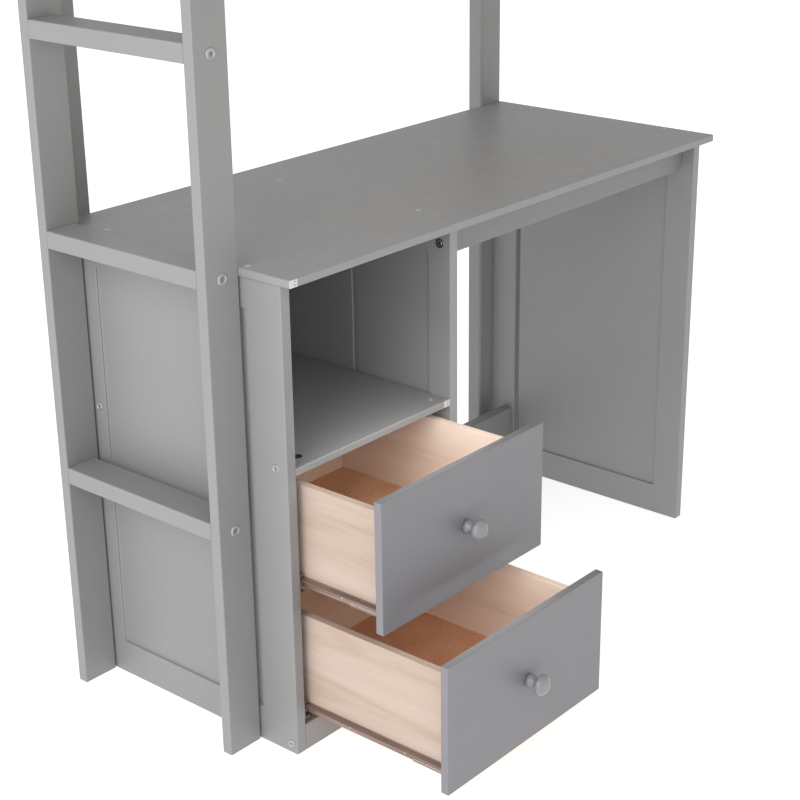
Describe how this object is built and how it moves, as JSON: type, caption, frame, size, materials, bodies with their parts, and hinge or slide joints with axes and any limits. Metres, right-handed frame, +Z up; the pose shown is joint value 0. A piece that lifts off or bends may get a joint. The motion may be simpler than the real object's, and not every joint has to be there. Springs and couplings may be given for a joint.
{
  "type": "loft bed with desk",
  "caption": "Twin loft bed with a desk, open cubby and drawer cabinet under one end, a vertical side ladder, slatted deck and guard rails.",
  "frame": {"origin": "on the floor, under the middle of the whole object", "axes": "+Y along the bed towards the desk end, +Z up, ladder side at -X"},
  "size_m": [1.1584, 1.98, 1.727],
  "materials": {
    "gray_paint": "satin gray paint on wood and fibreboard",
    "drawer_wood": "bare pale birch",
    "drawer_bottom": "orange-brown hardboard",
    "slat_wood": "bare pine",
    "slide_steel": "brown-gray coated sheet steel",
    "nylon": "dark gray-brown nylon"
  },
  "bodies": {
    "bed_frame": {"post_rear_left": "gray_paint", "post_rear_right": "gray_paint", "post_front_left": "gray_paint", "post_front_right": "gray_paint", "side_rail_left": "gray_paint", "side_rail_right": "gray_paint", "end_rail_rear": "gray_paint", "end_rail_front": "gray_paint", "slat_cleat_left": "slat_wood", "slat_cleat_right": "slat_wood", "slat_roll": "slat_wood", "guard_left": "gray_paint", "guard_right": "gray_paint", "guard_rear": "gray_paint", "guard_front": "gray_paint", "ladder_rail_front": "gray_paint", "ladder_rail_rear": "gray_paint", "ladder_rung_1": "gray_paint", "ladder_rung_2": "gray_paint", "ladder_rung_3": "gray_paint", "ladder_rung_4": "gray_paint", "desk_top": "gray_paint", "cabinet_side_left": "gray_paint", "cabinet_side_right": "gray_paint", "desk_side_right": "gray_paint", "apron_front": "gray_paint", "apron_rear": "gray_paint", "stretcher_rear": "gray_paint", "cabinet_shelf": "gray_paint", "cabinet_back": "gray_paint", "cabinet_kick_rail": "gray_paint", "upper_drawer_channel_left": "slide_steel", "upper_drawer_channel_right": "slide_steel", "lower_drawer_channel_left": "slide_steel", "lower_drawer_channel_right": "slide_steel"},
    "upper_drawer": {"upper_drawer_front": "gray_paint", "upper_drawer_side_left": "drawer_wood", "upper_drawer_side_right": "drawer_wood", "upper_drawer_back": "drawer_wood", "upper_drawer_bottom": "drawer_bottom", "upper_drawer_knob": "gray_paint", "upper_drawer_runner_left": "slide_steel", "upper_drawer_runner_right": "slide_steel"},
    "lower_drawer": {"lower_drawer_front": "gray_paint", "lower_drawer_side_left": "drawer_wood", "lower_drawer_side_right": "drawer_wood", "lower_drawer_back": "drawer_wood", "lower_drawer_bottom": "drawer_bottom", "lower_drawer_knob": "gray_paint", "lower_drawer_runner_left": "slide_steel", "lower_drawer_runner_right": "slide_steel"},
    "upper_drawer_front_roller_left": {"upper_drawer_front_roller_left": "nylon"},
    "upper_drawer_rear_roller_left": {"upper_drawer_rear_roller_left": "nylon"},
    "upper_drawer_front_roller_right": {"upper_drawer_front_roller_right": "nylon"},
    "upper_drawer_rear_roller_right": {"upper_drawer_rear_roller_right": "nylon"},
    "lower_drawer_front_roller_left": {"lower_drawer_front_roller_left": "nylon"},
    "lower_drawer_rear_roller_left": {"lower_drawer_rear_roller_left": "nylon"},
    "lower_drawer_front_roller_right": {"lower_drawer_front_roller_right": "nylon"},
    "lower_drawer_rear_roller_right": {"lower_drawer_rear_roller_right": "nylon"}
  },
  "joints": [
    {"name": "upper_drawer_slide", "type": "slide", "parent": "bed_frame", "child": "upper_drawer", "axis": [0, -1, 0], "range_m": [-0.1625, 0.137]},
    {"name": "lower_drawer_slide", "type": "slide", "parent": "bed_frame", "child": "lower_drawer", "axis": [0, -1, 0], "range_m": [-0.2785, 0.021]},
    {"name": "upper_drawer_front_roller_left_spin", "type": "hinge", "parent": "bed_frame", "child": "upper_drawer_front_roller_left", "pos_m": [-0.48825, 0.512, 0.2785], "axis": [1, 0, 0], "continuous": true},
    {"name": "upper_drawer_rear_roller_left_spin", "type": "hinge", "parent": "upper_drawer", "child": "upper_drawer_rear_roller_left", "pos_m": [-0.48825, 0.71, 0.2765], "axis": [1, 0, 0], "continuous": true},
    {"name": "upper_drawer_front_roller_right_spin", "type": "hinge", "parent": "bed_frame", "child": "upper_drawer_front_roller_right", "pos_m": [-0.15225, 0.512, 0.2785], "axis": [1, 0, 0], "continuous": true},
    {"name": "upper_drawer_rear_roller_right_spin", "type": "hinge", "parent": "upper_drawer", "child": "upper_drawer_rear_roller_right", "pos_m": [-0.15225, 0.71, 0.2765], "axis": [1, 0, 0], "continuous": true},
    {"name": "lower_drawer_front_roller_left_spin", "type": "hinge", "parent": "bed_frame", "child": "lower_drawer_front_roller_left", "pos_m": [-0.48825, 0.512, 0.0655], "axis": [1, 0, 0], "continuous": true},
    {"name": "lower_drawer_rear_roller_left_spin", "type": "hinge", "parent": "lower_drawer", "child": "lower_drawer_rear_roller_left", "pos_m": [-0.48825, 0.594, 0.0635], "axis": [1, 0, 0], "continuous": true},
    {"name": "lower_drawer_front_roller_right_spin", "type": "hinge", "parent": "bed_frame", "child": "lower_drawer_front_roller_right", "pos_m": [-0.15225, 0.512, 0.0655], "axis": [1, 0, 0], "continuous": true},
    {"name": "lower_drawer_rear_roller_right_spin", "type": "hinge", "parent": "lower_drawer", "child": "lower_drawer_rear_roller_right", "pos_m": [-0.15225, 0.594, 0.0635], "axis": [1, 0, 0], "continuous": true}
  ],
  "couplings": [
    {"joint": "upper_drawer_front_roller_left_spin", "follows": "upper_drawer_slide", "rad_per_m": 133.33},
    {"joint": "upper_drawer_rear_roller_left_spin", "follows": "upper_drawer_slide", "rad_per_m": 133.33},
    {"joint": "upper_drawer_front_roller_right_spin", "follows": "upper_drawer_slide", "rad_per_m": 133.33},
    {"joint": "upper_drawer_rear_roller_right_spin", "follows": "upper_drawer_slide", "rad_per_m": 133.33},
    {"joint": "lower_drawer_front_roller_left_spin", "follows": "lower_drawer_slide", "rad_per_m": 133.33},
    {"joint": "lower_drawer_rear_roller_left_spin", "follows": "lower_drawer_slide", "rad_per_m": 133.33},
    {"joint": "lower_drawer_front_roller_right_spin", "follows": "lower_drawer_slide", "rad_per_m": 133.33},
    {"joint": "lower_drawer_rear_roller_right_spin", "follows": "lower_drawer_slide", "rad_per_m": 133.33}
  ]
}
